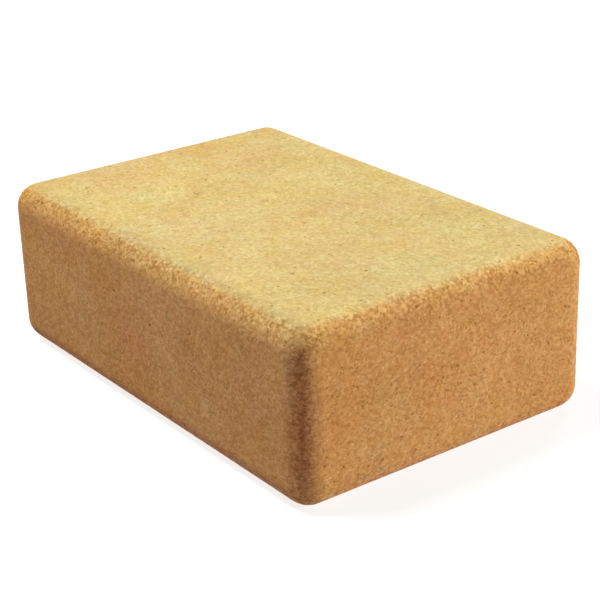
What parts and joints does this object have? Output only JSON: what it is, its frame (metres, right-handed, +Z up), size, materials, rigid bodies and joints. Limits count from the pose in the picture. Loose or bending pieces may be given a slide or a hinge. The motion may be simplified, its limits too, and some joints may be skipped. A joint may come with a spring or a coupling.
{
  "type": "cork block",
  "caption": "Brick-shaped block of pressed cork granules with rounded edges and corners, held in the hand, stood on or leant on, or wrapped in abrasive paper as a sanding block.",
  "frame": {"origin": "centre of the underside, on the surface that the block stands on", "axes": "+X along the length, +Y across the width, +Z up through the thickness"},
  "size_m": [0.228, 0.152, 0.078],
  "materials": {
    "cork": "sanded pressed cork: dull, fine granules, unvarnished"
  },
  "bodies": {
    "root": {"cork_block": "cork"}
  },
  "joints": []
}
